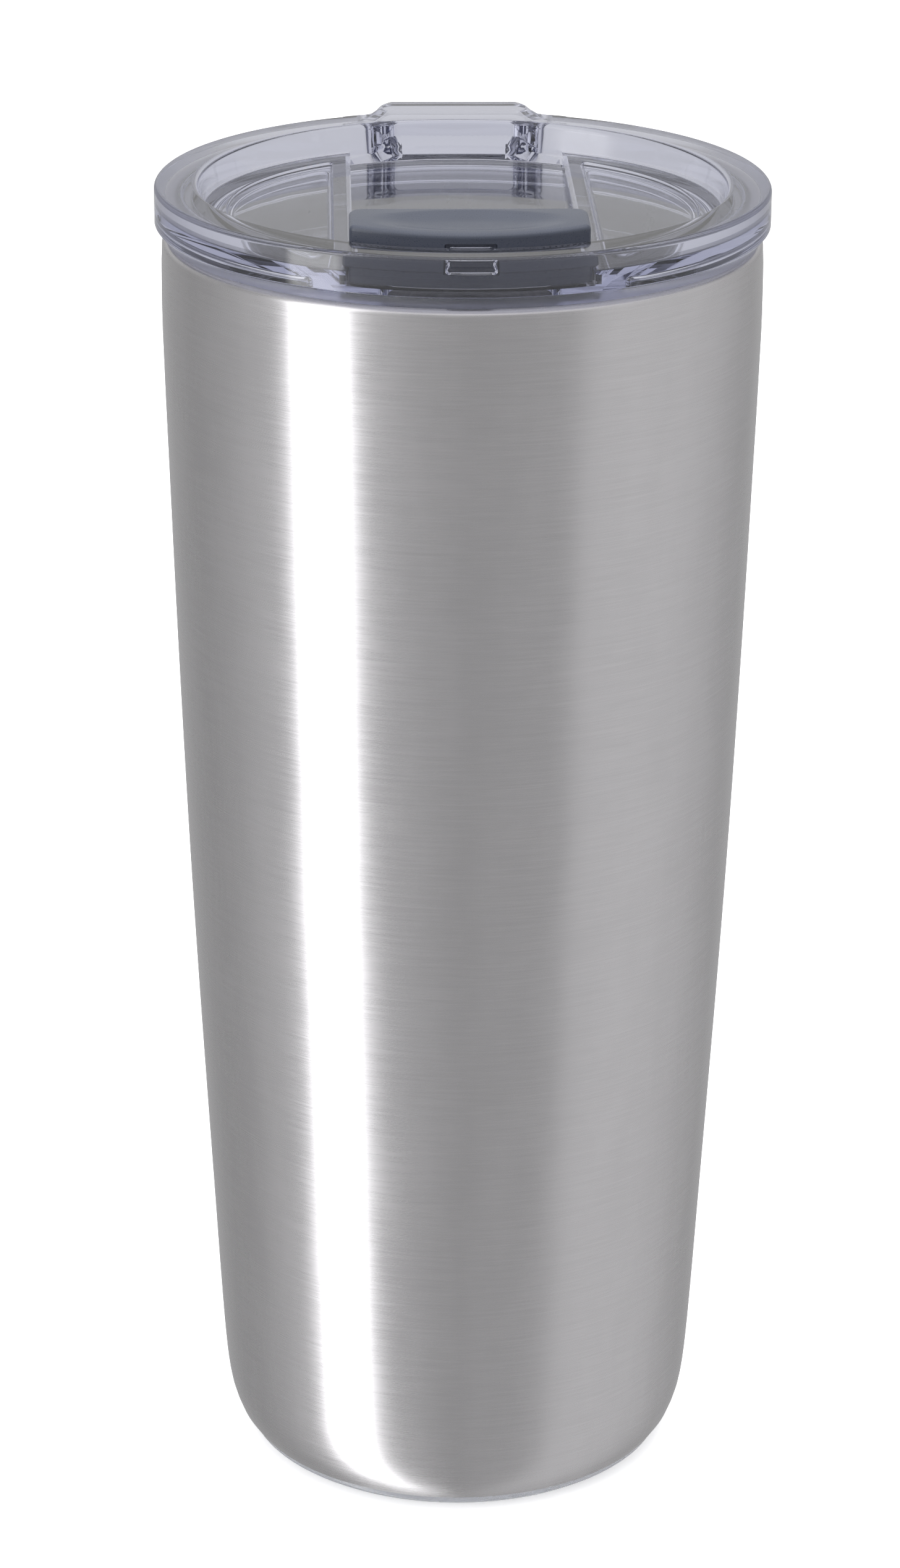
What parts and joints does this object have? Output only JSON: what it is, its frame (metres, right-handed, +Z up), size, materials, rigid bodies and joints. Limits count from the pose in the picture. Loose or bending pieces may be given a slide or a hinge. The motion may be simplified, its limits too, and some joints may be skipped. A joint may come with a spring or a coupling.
{
  "type": "insulated tumbler with lid",
  "caption": "Double-walled stainless vacuum tumbler with a clear press-in lid, silicone lid gasket, sliding mouth closure, lift tab and a clear silicone foot.",
  "frame": {"origin": "centre of the foot's resting face", "axes": "+Z up along the tumbler's axis; the slider and the mouth opening are on the -Y side, the lift tab on the +Y side"},
  "size_m": [0.091, 0.0988, 0.206],
  "materials": {
    "brushed_steel": "fine brushing round the body, satin",
    "liner_steel": "fine turned satin",
    "seal_glass": "fused bead, glossy",
    "getter_metal": "sintered, matt",
    "clear_silicone": "translucent silicone, satin",
    "clear_plastic": "clear moulded plastic, polished, slightly cool tint",
    "gasket_silicone": "translucent silicone, satin",
    "grey_plastic": "moulded blue-grey plastic, satin",
    "grey_silicone": "moulded blue-grey silicone, matt"
  },
  "bodies": {
    "cup": {"outer_shell": "brushed_steel", "inner_liner": "liner_steel", "outer_bottom": "liner_steel", "vacuum_seal": "seal_glass", "getter": "getter_metal", "base_cover": "brushed_steel", "base_pad": "clear_silicone"},
    "lid_ring": {"lid_gasket": "gasket_silicone"},
    "lid": {"lid_body": "clear_plastic"},
    "closure": {"slider": "grey_plastic", "slider_seal": "grey_silicone"}
  },
  "joints": [
    {"name": "lid_lift", "type": "slide", "parent": "cup", "child": "lid_ring", "axis": [0, 0, 1], "range_m": [0, 0.06]},
    {"name": "lid_turn", "type": "hinge", "parent": "lid_ring", "child": "lid", "pos_m": [0, 0, 0.195], "axis": [0, 0, 1], "continuous": true},
    {"name": "slider_slide", "type": "slide", "parent": "lid", "child": "closure", "axis": [0, 1, 0], "range_m": [0, 0.052]}
  ]
}
